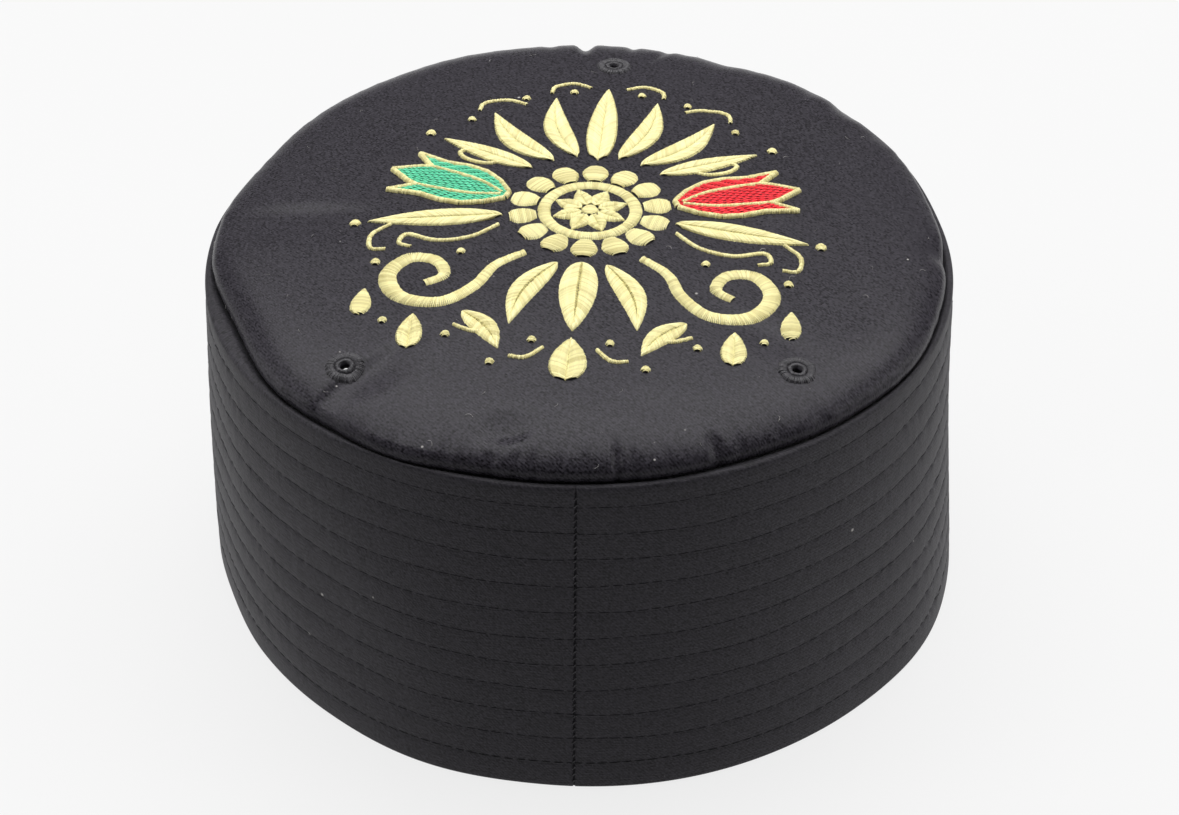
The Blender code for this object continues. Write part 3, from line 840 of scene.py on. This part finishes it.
def band_face(azimuth, height, outer=1.0):
    """Points of the band's quilted face, moved by its own sway, drags and wandering rows."""
    azimuth, height, outer = np.broadcast_arrays(azimuth, height, outer)
    # The hem and the lip stay even: drags and wandering rows fade out over 5 mm.
    inside = np.clip(np.minimum(height - 0.003, BAND_HEIGHT - 0.003 - height) / 0.005, 0.0, 1.0)
    moved = height + inside * waves(azimuth, height / BAND_HEIGHT, ROW_WANDER) * MM
    nearest = np.clip(np.round((height - QUILT_FIRST) / QUILT_PITCH), 0, QUILT_ROWS - 1)
    off = np.clip(np.abs(height - quilt_row(nearest)) / (QUILT_PITCH / 2), 0.0, 1.0)
    pull = row_pull(azimuth, nearest.astype(int))
    softer = 1.0 + SOFTER_SIDES * (1.0 - np.cos(azimuth - math.radians(FRONT))) / 2
    puff = CHANNEL_PUFF * inside * off ** 0.7
    groove = softer * (QUILT_DEPTH * pull * (1.0 - off) ** 4 - puff)
    seam = SEAM_DEPTH * pulse(turned_from(azimuth, FRONT), SEAM_HALF_WIDTH)
    share = height / BAND_HEIGHT
    sway = 4 * share * (1 - share) * waves(azimuth, share, BAND_SWAY) * MM
    drags = inside * waves(azimuth, share, BAND_DRAGS) * MM
    return band_point(azimuth, outer * (groove + seam - drags) - sway, moved)


def band_azimuths():
    """Directions round the band from its front seam, closer together beside the seam."""
    close = np.array([0.0, 0.07, 0.14, 0.20, 0.27, 0.42, 0.7])
    even = np.linspace(close[-1], 360.0 - close[-1], BAND_COLUMNS)
    turn = np.concatenate([close[:-1], even, 360.0 - close[::-1][1:]])
    return np.radians(FRONT + turn)


def make_band(finishes):
    depth, height, outer = (a[:, None] for a in band_section())
    azimuth = band_azimuths()[None, :]
    points = band_face(azimuth, height, outer)
    inward = points * 0.0
    inward[..., 0], inward[..., 1] = -np.cos(azimuth), -np.sin(azimuth)
    near_top = np.clip(1 - (BAND_HEIGHT - height) / SEAM_REACH, 0.0, 1.0)
    shift = near_top * swell_at(azimuth, SEAM_SWELLS)
    shift = np.where(depth > LIP_WIDTH, np.minimum(shift, 0.0), shift)
    reach = depth - shift * np.clip(depth / LIP_WIDTH, 0.0, 1.0)
    points = points + inward * reach[..., None]
    steps = np.hypot(np.diff(depth[:, 0], append=depth[0, 0]),
                     np.diff(height[:, 0], append=height[0, 0]))
    down = -np.concatenate([[0.0], np.cumsum(steps)])
    round_way = (azimuth[0] - azimuth[0, 0]) * BAND_RIM_RADIUS
    cloth = np.stack(np.meshgrid(round_way, down), -1)
    mesh = skin("band_cloth", points[:, :-1], cloth, True, finishes["band_twill"])
    band = plain_object("band_cloth", mesh)
    settle(band, "band_twill", "side_band")
    return band


def runs_mesh(name, runs):
    """A mesh of bare edges, one chain for each run of (points, thickness, tone)."""
    places = np.concatenate([points for points, _, _ in runs])
    counts = [len(points) for points, _, _ in runs]
    starts = np.cumsum([0] + counts[:-1])
    edges = np.concatenate([np.stack([np.arange(s, s + n - 1), np.arange(s + 1, s + n)], -1)
                            for s, n in zip(starts, counts)])
    mesh = bpy.data.meshes.new(name)
    mesh.from_pydata(places.tolist(), edges.tolist(), [])
    for label, column in (("thick", 1), ("tone", 2)):
        values = np.concatenate([np.broadcast_to(run[column], count)
                                 for run, count in zip(runs, counts)])
        mesh.attributes.new(label, "FLOAT", "POINT").data.foreach_set(
            "value", values.astype(np.float32))
    return mesh


def make_band_stitches(finishes, trees):
    """Lines of machine stitches in the quilting's channels."""
    azimuth = np.radians(FRONT + np.linspace(0.4, 359.6, BAND_COLUMNS))
    for name, rows, finish, rise in (
            ("top_row_stitches", [0], "black_thread", 0.00026),
            ("quilting_stitches", range(1, QUILT_ROWS), "quilting_thread", 0.00013)):
        mesh = runs_mesh(name, [(band_face(azimuth, quilt_row(row)), 1.0, 0.5) for row in rows])
        stitches = grow(name, mesh, trees["running"], Pitch=0.0029, Stitch_Length=0.0022,
                        Rise=rise, Thread_Radius=0.00010, Seed=11, Finish=finishes[finish])
        settle(stitches, "black_thread")


SEAM_STITCH_PITCH = 0.0019
SEAM_STITCH_LEAN = 0.0003
SEAM_STITCH_RISE = 0.00004


def make_seam_stitches(finishes, trees):
    """Short stitches that close the band's front seam, one under another."""
    runs = []
    for height in np.arange(0.0022, BAND_HEIGHT - 0.001, SEAM_STITCH_PITCH):
        swing = np.array([-0.30, -0.15, 0.0, 0.15, 0.30])
        lean = SEAM_STITCH_LEAN * np.sign(swing)
        points = band_face(np.radians(FRONT + swing), height + lean)
        points[1:4, 1] = points[[0, 4], 1].mean() - SEAM_STITCH_RISE
        runs.append((points, 1.0, RANDOM.random()))
    mesh = runs_mesh("front_seam_stitches", runs)
    seam = grow("front_seam_stitches", mesh, trees["threads"], Thread_Radius=0.00013,
                Sides=5, Flatness=1.0, Finish=finishes["eyelet_thread"])
    settle(seam, "black_thread")


# The ornament's stitches. Its tables are in millimetres on its plan.

SATIN_SHARES = np.array([0.0, 0.10, 0.5, 0.90, 1.0])
SATIN_LIFTS = np.array([-0.15, 0.62, 1.0, 0.62, -0.15])


class Needle:
    """Lays stitches on the crown, and grows those of each piece into thread."""

    def __init__(self, face, trees, finishes):
        self.face, self.trees, self.finishes = face, trees, finishes
        self.runs = []
        self.side = 1

    def lay(self, x, y, lifts, thick=1.0):
        """One run of thread through places of the crown, lifted off it in millimetres."""
        below = [self.face.ray_cast(Vector((a, b, 0.2)), Vector((0, 0, -1)))[0] for a, b in zip(x, y)]
        z = np.array([spot.z if spot else CROWN_TOP - DOME_RISE for spot in below])
        self.runs.append((np.stack([x, y, z + lifts * MM], -1), thick, RANDOM.random()))

    def satin(self, start, end, rise=None):
        """One stitch that arches from hole to hole of the ornament's plan."""
        if rise is None:
            rise = 0.30 + min(0.28, 0.06 * math.dist(start, end))
        plan = start + SATIN_SHARES[:, None] * (end - start)
        u, v = self.side * plan[:, 0] * MM, plan[:, 1] * MM
        cos, sin = math.cos(ORNAMENT_TURN), math.sin(ORNAMENT_TURN)
        self.lay(ORNAMENT_X + u * cos - v * sin,
                 ORNAMENT_Y + u * sin + v * cos + CROWN_SHIFT_Y, SATIN_LIFTS * rise)

    def sew(self, name, finish, *nodes, slot=None):
        """Makes one piece of the stitches laid so far, which stands for the named solids."""
        piece = grow(name, runs_mesh(name, self.runs), self.trees["threads"], Sides=5,
                     Thread_Radius=THREAD_RADIUS, Flatness=0.65, Finish=self.finishes[finish])
        self.runs = []
        settle(piece, slot or finish, *nodes)


def jitter(size):
    return (RANDOM.random() - 0.5) * 2 * size


def column(needle, left, right, slant=0.0, rise=None):
    """Satin stitches from one edge to the other; left and right give points for a share."""
    shares = np.linspace(0.0, 1.0, 40)
    middle = np.array([(left(t) + right(t)) / 2 for t in shares])
    way = np.concatenate([[0.0], np.cumsum(np.hypot(*np.diff(middle, axis=0).T))])
    count = max(3, round(way[-1] / STITCH_PITCH))
    for i in range(count):
        t = np.interp((i + 0.5) * way[-1] / count, way, shares)
        start = left(min(max(t - slant, 0.0), 1.0))
        end = right(min(max(t + slant, 0.0), 1.0))
        outwards = (start - end) / max(math.dist(start, end), 0.01)
        needle.satin(start + outwards * (0.1 + jitter(0.09)),
                     end - outwards * (0.1 + jitter(0.09)), rise)


def strip(needle, middle, half, start, end, slant=0.0):
    """A column between two lines beside a middle line, at shares of its half width."""
    column(needle, lambda t: middle(t) + start * half(t), lambda t: middle(t) + end * half(t), slant)


def turned(way):
    """A direction of the plan, turned a quarter to the left."""
    return np.array([-way[1], way[0]])


def sew_leaf(needle, base, tip, bend, half_width):
    """Two columns of slanted satin that meet along a pointed leaf's vein."""
    base = np.array(base)
    span = np.array(tip) - base
    across = turned(span) / math.hypot(*span)

    def spine(t):
        return base + span * t + across * bend * math.sin(math.pi * t)

    def half(t):
        return across * half_width * max(math.sin(math.pi * t ** 0.8), 0.0) ** 0.9

    for way in (1, -1):
        strip(needle, spine, half, way, way * 0.06, -0.05)


def sew_drop(needle, drop):
    """A drop of satin, split down its middle if it is wide."""
    def half(share):
        angle = math.acos(1 - 2 * share)
        wide = drop.half_width * math.sin(angle) * abs(math.sin(0.5 * angle)) ** 0.7
        return np.array([wide, 0.0])

    def middle(share):
        return np.array([drop.u, drop.point_v + (drop.foot_v - drop.point_v) * share])

    if drop.half_width < 3.0:
        strip(needle, middle, half, 1, -1, 0.02)
        return
    for way in (1, -1):
        strip(needle, middle, half, way, way * 0.04, 0.06)


def sew_dot(needle, u, v, radius, rise=None):
    """A small disc of satin."""
    def edge(angle):
        return np.array([u + radius * math.cos(angle), v + radius * math.sin(angle)])

    column(needle, lambda t: edge(math.pi * (0.5 + t)), lambda t: edge(math.pi * (0.5 - t)), rise=rise)


def smooth_route(points, steps):
    """Points of a Catmull-Rom curve through the route's own points."""
    knots = [np.array(p, float) for p in (points[0], *points, points[-1])]
    route = []
    for p0, p1, p2, p3 in zip(knots, knots[1:], knots[2:], knots[3:]):
        for k in range(steps):
            t = k / steps
            route.append(0.5 * (2 * p1 + (p2 - p0) * t
                                + (2 * p0 - 5 * p1 + 4 * p2 - p3) * t * t
                                + (3 * p1 - p0 - 3 * p2 + p3) * t ** 3))
    route.append(knots[-1])
    return np.array(route)


def sew_ribbon(needle, route, half_widths, rise=None):
    """Satin across a smooth route; its half width is given at start, middle and end."""
    points = smooth_route(route, 12)
    ahead = np.gradient(points, axis=0)
    normal = np.stack([-ahead[:, 1], ahead[:, 0]], -1)
    normal /= np.hypot(*normal.T)[:, None]
    shares = np.linspace(0.0, 1.0, len(points))
    half = np.interp(shares, [0.0, 0.5, 1.0], half_widths)[:, None]
    upper, lower = points + normal * half, points - normal * half

    def along(line):
        return lambda t: np.array([np.interp(t, shares, line[:, 0]), np.interp(t, shares, line[:, 1])])

    column(needle, along(upper), along(lower), 0.004, rise)


def sew_rows(needle, outline, along, pitch=0.42, length=4.2):
    """Fills an outline with rows of long stitches, their holes stepped from row to row."""
    outline, across = np.array(outline), turned(along)
    ends = np.roll(outline, -1, axis=0)
    low, high = (outline @ across).min(), (outline @ across).max()
    for row, offset in enumerate(np.arange(low + pitch / 2, high, pitch)):
        before, after = outline @ across - offset, ends @ across - offset
        crossing = before * after < 0
        share = (before / (before - after))[crossing][:, None]
        cuts = np.sort((outline[crossing] + share * (ends - outline)[crossing]) @ along)
        for start, end in zip(cuts[::2], cuts[1::2]):
            holes = np.arange(start - (row * 0.37 % 1.0) * length, end, length)
            holes = [start, *holes[holes > start + 0.7], end]
            for first, last in zip(holes, holes[1:]):
                needle.satin(along * first + across * offset,
                             along * last + across * (offset + jitter(0.04)), 0.55)


Leaf = namedtuple("Leaf", "name base_u base_v tip_u tip_v bend half_width")
LEAVES = named(
    Leaf,
    ("fan_inner", 5.2, 28.0, 12.8, 56.0, -2.4, 3.3),
    ("fan_outer", 10.8, 25.6, 27.5, 47.5, -2.6, 3.4),
    ("fan_low", 15.8, 21.8, 38.5, 34.2, 0.0, 2.7),
    ("leaf_side", 20.8, 0.4, 52.0, -3.8, 0.0, 3.3),
    ("foot_lobe", 5.8, -18.6, 14.5, -42.0, 2.4, 3.2),
    ("leaf_vine", 25.4, -38.9, 16.2, -51.0, -1.4, 2.8))
Drop = namedtuple("Drop", "name u point_v foot_v half_width")
BUDS = named(Drop, ("bud_inner", 36.5, -40.6, -52.0, 3.4), ("bud_outer", 49.0, -31.5, -41.0, 2.7))
CENTRE_DROPS = named(
    Drop,
    ("fan_middle", 0.0, 62.0, 27.0, 4.4), ("foot_middle", 0.0, -43.5, -18.0, 5.2),
    ("bud_middle", 0.0, -46.5, -61.0, 5.0))
ROSETTE_V = 4.0
ROSETTE_PETALS = 14
ROSETTE_TIP = 19.4
TULIP_BASE = np.array([20.4, 8.8])
TULIP_LEAN = math.radians(20.0)
TULIP_TIP = 31.0
TulipEdge = namedtuple("TulipEdge", "along across")
TULIP_EDGE = named(
    TulipEdge,
    (0.0, 1.3), (4.0, 4.9), (9.0, 7.5), (14.0, 8.1), (20.0, 7.5), (28.0, 8.8), (22.4, 4.3),
    (25.0, 3.4))
VINE_ROUTE = ((13.6, -14.8), (20.0, -20.4), (24.0, -29.0), (31.0, -35.4), (40.4, -34.0),
              (44.4, -26.0), (40.4, -18.8), (33.8, -19.4), (31.4, -25.0), (35.4, -28.4))
VINE_HALF_WIDTHS = (0.9, 2.0, 1.0)


def ring_point(radius, angle):
    return np.array([radius * math.cos(angle), ROSETTE_V + radius * math.sin(angle)])


def sew_rosette(needle):
    """Fourteen petals round a ring, and eight small petals round an open middle."""
    for petal in range(ROSETTE_PETALS):
        angle = math.tau * (petal + 0.5) / ROSETTE_PETALS
        across = np.array([-math.sin(angle), math.cos(angle)])

        def spine(t):
            return ring_point(12.9 + (ROSETTE_TIP - 12.9) * t, angle)

        def half(t):
            return across * 3.75 * math.sin(math.pi * (0.14 + 0.8 * t)) ** 0.6 * (0.62 + 0.38 * t)

        strip(needle, spine, half, 1, -1)
    column(needle, lambda t: ring_point(12.3, math.tau * t), lambda t: ring_point(9.6, math.tau * t))
    for petal in range(8):
        angle = math.tau * (petal + 0.5) / 8
        sew_leaf(needle, ring_point(2.3, angle), ring_point(9.0, angle), 0.0, 2.1)
    sew_dot(needle, 0.0, ROSETTE_V, 1.9)


def tulip_outline():
    along = np.array([math.cos(TULIP_LEAN), math.sin(TULIP_LEAN)])
    across = turned(along)
    upper = [TULIP_BASE + along * e.along + across * e.across for e in TULIP_EDGE]
    lower = [TULIP_BASE + along * e.along - across * e.across for e in TULIP_EDGE]
    return upper + [TULIP_BASE + along * TULIP_TIP] + lower[::-1], along, across


def sew_tulip_edge(needle):
    """A narrow gold cord round the tulip, and two lines down it between its petals."""
    outline, along, across = tulip_outline()
    for start, end in zip(outline, outline[1:] + outline[:1]):
        middle = (start + end) / 2
        sew_ribbon(needle, (start, middle, end), (0.55, 0.55, 0.55), 0.85)
    for way in (1, -1):
        route = [TULIP_BASE + along * a + across * way * b
                 for a, b in ((1.5, 0.4), (8.0, 2.9), (15.0, 3.9), (22.4, 4.3))]
        sew_ribbon(needle, route, (0.3, 0.45, 0.4), 0.85)


def make_ornament(needle):
    """Each solid of the ornament, sewn in satin or in rows."""
    def sewn(name, finish="gold_thread"):
        needle.sew(name + "_stitches", finish, name)

    sew_rosette(needle)
    sewn("rosette")
    for drop in CENTRE_DROPS:
        sew_drop(needle, drop)
        sewn(drop.name)
    outline, along, _ = tulip_outline()
    for side, word in ((-1, "left"), (1, "right")):
        needle.side = side
        for leaf in LEAVES:
            sew_leaf(needle, leaf[1:3], leaf[3:5], leaf.bend, leaf.half_width)
            sewn(f"{leaf.name}_{word}")
        for bud in BUDS:
            sew_drop(needle, bud)
            sewn(f"{bud.name}_{word}")
        sew_ribbon(needle, VINE_ROUTE, VINE_HALF_WIDTHS)
        sewn(f"vine_{word}")
        sew_rows(needle, outline, along)
        sewn(f"tulip_{word}", "green_thread" if side < 0 else "red_thread")
        sew_tulip_edge(needle)
        needle.sew(f"tulip_edge_{word}", "gold_thread")


# Thin tendrils and small dots of satin between the larger pieces, each made twice.
Tendril = namedtuple("Tendril", "half_width route")
TENDRILS = named(
    Tendril,
    (0.45, ((22.0, 24.8), (27.0, 23.2), (32.0, 25.0), (34.0, 28.2), (31.6, 29.6))),
    (0.45, ((21.0, -3.6), (27.0, -9.2), (35.0, -11.2), (42.0, -9.0), (43.6, -12.6), (40.6, -14.0))),
    (0.40, ((4.5, 62.5), (9.0, 64.5), (13.6, 62.4), (14.2, 58.8))),
    (0.40, ((20.0, 52.6), (25.0, 54.6), (30.6, 53.0), (31.6, 49.0))),
    (0.40, ((46.5, -4.8), (50.5, -9.4), (50.0, -15.0), (46.4, -15.2))),
    (0.40, ((17.5, -44.6), (22.4, -45.6), (27.0, -43.6))),
    (0.40, ((6.0, -50.0), (9.6, -53.8), (13.4, -53.6))))
Dot = namedtuple("Dot", "u v radius")
DOTS = named(
    Dot,
    (8.6, 59.8, 0.9), (20.4, 55.8, 0.9), (33.0, 44.4, 0.9), (42.4, 37.0, 1.1), (55.2, -4.4, 1.2),
    (48.0, -20.6, 1.0), (28.6, -15.4, 0.9), (43.2, -43.0, 0.9), (28.4, -47.2, 0.9),
    (8.8, -47.6, 0.9), (17.4, -56.0, 0.9))


def make_tendrils(needle):
    for side in (-1, 1):
        needle.side = side
        for tendril in TENDRILS:
            wide = tendril.half_width
            sew_ribbon(needle, tendril.route, (wide * 0.7, wide, wide * 0.7), 0.45)
        for dot in DOTS:
            sew_dot(needle, *dot, 0.5)
    needle.sew("tendril_stitches", "gold_thread")


# Eyelets.

EYELET_THREADS = 54
EyeletRing = namedtuple("EyeletRing", "inner outer height")
EYELET_RINGS = named(EyeletRing, (0.00225, 0.00430, 0.50), (0.00120, 0.00215, 0.45))


def make_eyelets(needle):
    """Two rings of close spokes round each hole, uneven at their outer ends."""
    shares = np.array([0.0, 0.15, 0.5, 0.85, 1.0])
    lifts = np.array([-0.30, 0.70, 1.0, 0.75, -0.25])
    for eyelet in EYELETS:
        for ring in EYELET_RINGS:
            for i in range(EYELET_THREADS):
                angle = math.tau * (i + jitter(0.2)) / EYELET_THREADS
                reach = ring.outer + jitter(0.00014) + 0.00008 * math.sin(5 * angle)
                radius = ring.inner + (reach - ring.inner) * shares
                x = eyelet.x + radius * np.cos(angle)
                y = eyelet.y + CROWN_SHIFT_Y + radius * np.sin(angle)
                needle.lay(x, y, lifts * ring.height, 0.25 + 0.28 * radius / MM)
        name = "eyelet_" + eyelet.side
        needle.sew(name + "_stitches", "eyelet_thread", name, slot="black_thread")


def make_lint(crown, finishes, trees):
    """Short curled fibres of lint on the crown."""
    mesh = crown.data.copy()
    lint = grow("lint_fibres", mesh, trees["lint"], Density=3200.0, Fibre_Length=0.0014,
                Fibre_Radius=0.00003, Seed=5, Finish=finishes["lint"])
    settle(lint, "crown_satin")


# Stage.

FLOOR_REACH = 6.0
FLOOR_GLOW = 0.81
DARK_INSET = 0.006


def make_floor():
    mesh = bpy.data.meshes.new("floor")
    mesh.from_pydata([(x * FLOOR_REACH, y * FLOOR_REACH, 0.0)
                      for x, y in ((-1, -1), (1, -1), (1, 1), (-1, 1))], [], [(0, 1, 2, 3)])
    material, tree, shader = new_material("floor_paper", 0.6, specular=0.2)
    place = object_place(tree)
    tone = noise(tree, place, 3.0)
    far = node(tree, "ShaderNodeVectorMath", {0: place}, "Value", operation="LENGTH")
    # The floor is dark under the cap, so that its own glow doesn't light the inside.
    open_floor = maths(tree, "GREATER_THAN", far, BAND_RIM_RADIUS - DARK_INSET)
    glow = mixed(tree, tone, grey(0.98), grey(1.0))
    feed(tree, shader, {"Base Color": mixed(tree, tone, grey(0.07), grey(0.078)),
                        "Emission Color": mixed(tree, open_floor, grey(0.02), glow),
                        "Emission Strength": FLOOR_GLOW})
    mesh.materials.append(material)
    floor = plain_object("floor", mesh)


Softbox = namedtuple("Softbox", "name place aim size watts")
SOFTBOXES = named(
    Softbox,
    ("back_softbox", (0.0, 0.67, 1.49), (0.0, 0.0, 0.09), (2.2, 1.22), 41.0),
    ("top_softbox", (0.0, 0.02, 1.76), (0.0, 0.0, 0.09), (2.2, 0.20), 4.5),
    ("low_softbox", (0.0, 1.40, 0.90), (0.0, 0.0, 0.09), (2.4, 0.65), 1.6),
    ("left_softbox", (-1.15, 0.10, 0.55), (0.0, 0.0, 0.05), (0.9, 0.9), 6.0),
    ("right_softbox", (1.15, 0.10, 0.55), (0.0, 0.0, 0.05), (0.9, 0.9), 6.0))
WORLD_LEVEL = 0.09


def make_lights():
    for box in SOFTBOXES:
        light = bpy.data.lights.new(box.name, "AREA")
        light.shape = "RECTANGLE"
        light.size, light.size_y = box.size
        light.energy = box.watts
        lamp = plain_object(box.name, light)
        lamp.location = box.place
        aim = Vector(box.aim) - Vector(box.place)
        lamp.rotation_euler = aim.to_track_quat("-Z", "Y").to_euler()
    world = bpy.data.worlds.new("studio")
    world.use_nodes = True
    feed(world.node_tree, world.node_tree.nodes["Background"],
         {"Color": (1.0, 1.0, 1.0, 1.0), "Strength": WORLD_LEVEL})
    bpy.context.scene.world = world
    bpy.context.scene.view_settings.view_transform = "Standard"


def main():
    add_camera()
    finishes = make_finishes()
    trees = {"threads": thread_tree(), "running": running_stitch_tree(), "lint": lint_tree()}
    band = make_band(finishes)
    crown, face, reach = make_crown(finishes)
    2 * reach
    2 * reach
    math.pi * reach ** 2
    make_band_stitches(finishes, trees)
    make_seam_stitches(finishes, trees)
    needle = Needle(face, trees, finishes)
    make_eyelets(needle)
    make_ornament(needle)
    make_tendrils(needle)
    make_lint(crown, finishes, trees)
    make_floor()
    make_lights()


main()
